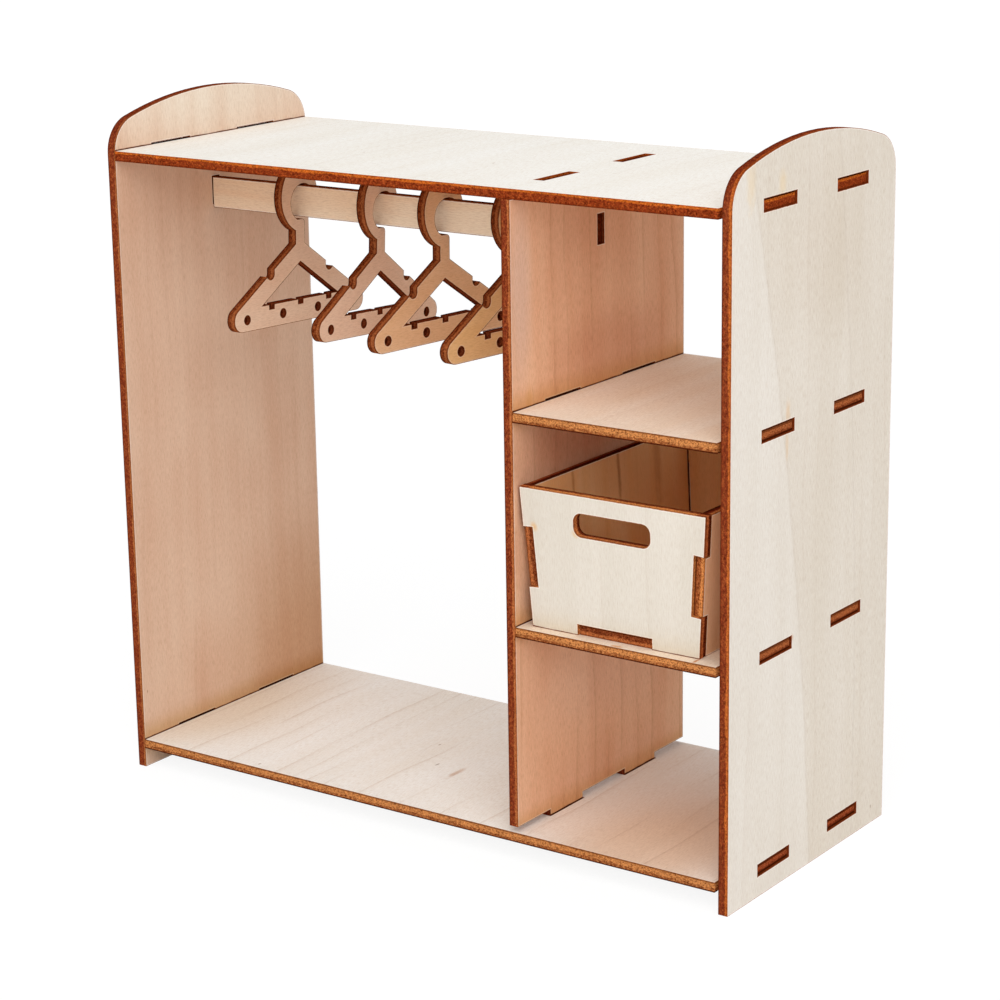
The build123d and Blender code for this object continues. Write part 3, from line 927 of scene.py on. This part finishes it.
floorLook = {
    "reach": 8.0, "shadowReach": 0.5, "fadeReach": 1.6,  # metres
    "matt": "#f0f0f0", "cameraTone": "#ffffff", "cameraShare": 0.82, "cameraStrength": 1.07,
}


def buildFloor(look):
    ground = bmesh.new()
    bmesh.ops.create_grid(ground, x_segments=1, y_segments=1, size=look["reach"])
    mesh = bpy.data.meshes.new("paleFloor")
    ground.to_mesh(mesh)
    ground.free()
    floor = bpy.data.objects.new("paleFloor", mesh)
    bpy.context.scene.collection.objects.link(floor)
    material = bpy.data.materials.new("paleFloor")
    material.use_nodes = True
    tree = material.node_tree
    tree.nodes.clear()
    matt = addNode(tree, "BsdfDiffuse", {"Color": paint(look["matt"])})
    tone = paint(look["cameraTone"])
    glow = addNode(tree, "Emission", {"Color": tone, "Strength": look["cameraStrength"]})
    path = addNode(tree, "LightPath").outputs
    seen = calculate(tree, "MAXIMUM", path["Is Camera Ray"], path["Is Glossy Ray"])
    seen = calculate(tree, "MAXIMUM", seen, path["Is Transmission Ray"])
    spot = addNode(tree, "TexCoord").outputs["Object"]
    distance = addNode(tree, "VectorMath", {0: spot}, operation="LENGTH").outputs["Value"]
    share = ease(tree, distance, look["shadowReach"], look["fadeReach"], look["cameraShare"], 1.0)
    share = calculate(tree, "MULTIPLY", seen, share)
    blend = addNode(tree, "MixShader", {0: share, 1: matt.outputs[0], 2: glow.outputs[0]})
    output = addNode(tree, "OutputMaterial")
    tree.links.new(blend.outputs[0], output.inputs["Surface"])
    mesh.materials.append(material)


studio = {
    # watts, metres and degrees
    "worldLevel": 0.67, "aim": (0.0, 0.0, 0.09),
    "key": {"power": 10.8, "size": 1.3, "distance": 1.5, "turn": 38.0, "rise": 44.0},
    "fill": {"power": 3.0, "size": 0.9, "distance": 1.5, "turn": 33.0, "rise": 17.0},
}


def buildWorld(look):
    world = bpy.data.worlds.new("studioWorld")
    world.use_nodes = True
    tree = world.node_tree
    tree.nodes.clear()
    path = addNode(tree, "LightPath").outputs
    seen = calculate(tree, "MAXIMUM", path["Is Camera Ray"], path["Is Glossy Ray"])
    seen = calculate(tree, "MAXIMUM", seen, path["Is Transmission Ray"])
    strength = ease(tree, seen, 0.0, 1.0, look["worldLevel"], 1.0)
    sky = addNode(tree, "Background", {"Color": white, "Strength": strength})
    output = addNode(tree, "OutputWorld")
    tree.links.new(sky.outputs[0], output.inputs["Surface"])
    bpy.context.scene.world = world


def buildLamp(name, look):
    light = bpy.data.lights.new(name, "AREA")
    light.shape = "SQUARE"
    light.size = look["size"]
    light.energy = look["power"]
    lamp = bpy.data.objects.new(name, light)
    turn = radians(look["turn"])
    rise = radians(look["rise"])
    away = Vector((sin(turn) * cos(rise), -cos(turn) * cos(rise), sin(rise)))
    lamp.location = Vector(studio["aim"]) + away * look["distance"]
    lamp.rotation_euler = away.to_track_quat("Z", "Y").to_euler()
    bpy.context.scene.collection.objects.link(lamp)


# solved from the straight edges of the stand in the photograph, in degrees and millimetres
photoView = {
    "turn": 35.492, "rise": 15.247, "roll": -0.894, "aim": (0.0, 0.0, 90.0),
    "sideways": -1.466, "upwards": 8.608, "distance": 733.187, "lens": 100.672,
    "sensor": 36.0, "nearest": 10.0,
}


def buildCamera(look):
    turn = radians(look["turn"])
    rise = radians(look["rise"])
    roll = radians(look["roll"])
    back = Vector((sin(turn) * cos(rise), -cos(turn) * cos(rise), sin(rise)))
    right = Vector((cos(turn), sin(turn), 0.0))
    levelUp = back.cross(right)
    rolledRight = cos(roll) * right + sin(roll) * levelUp
    rolledUp = -sin(roll) * right + cos(roll) * levelUp
    spot = Vector(look["aim"]) - look["sideways"] * rolledRight - look["upwards"] * rolledUp
    spot = spot + look["distance"] * back
    data = bpy.data.cameras.new("photoCamera")
    data.sensor_width = look["sensor"]
    data.sensor_fit = "HORIZONTAL"
    data.lens = look["lens"]
    data.clip_start = look["nearest"] * millimetre
    camera = bpy.data.objects.new("photoCamera", data)
    camera.matrix_world = Matrix.Translation(spot * millimetre) @ Matrix(
        (rolledRight, rolledUp, back)
    ).transposed().to_4x4()
    bpy.context.scene.collection.objects.link(camera)
    bpy.context.scene.camera = camera


buildFloor(floorLook)
buildWorld(studio)
buildLamp("keyLight", studio["key"])
buildLamp("fillLight", studio["fill"])
buildCamera(photoView)
bpy.context.scene.view_settings.view_transform = "Standard"
print("floor, light and camera set")
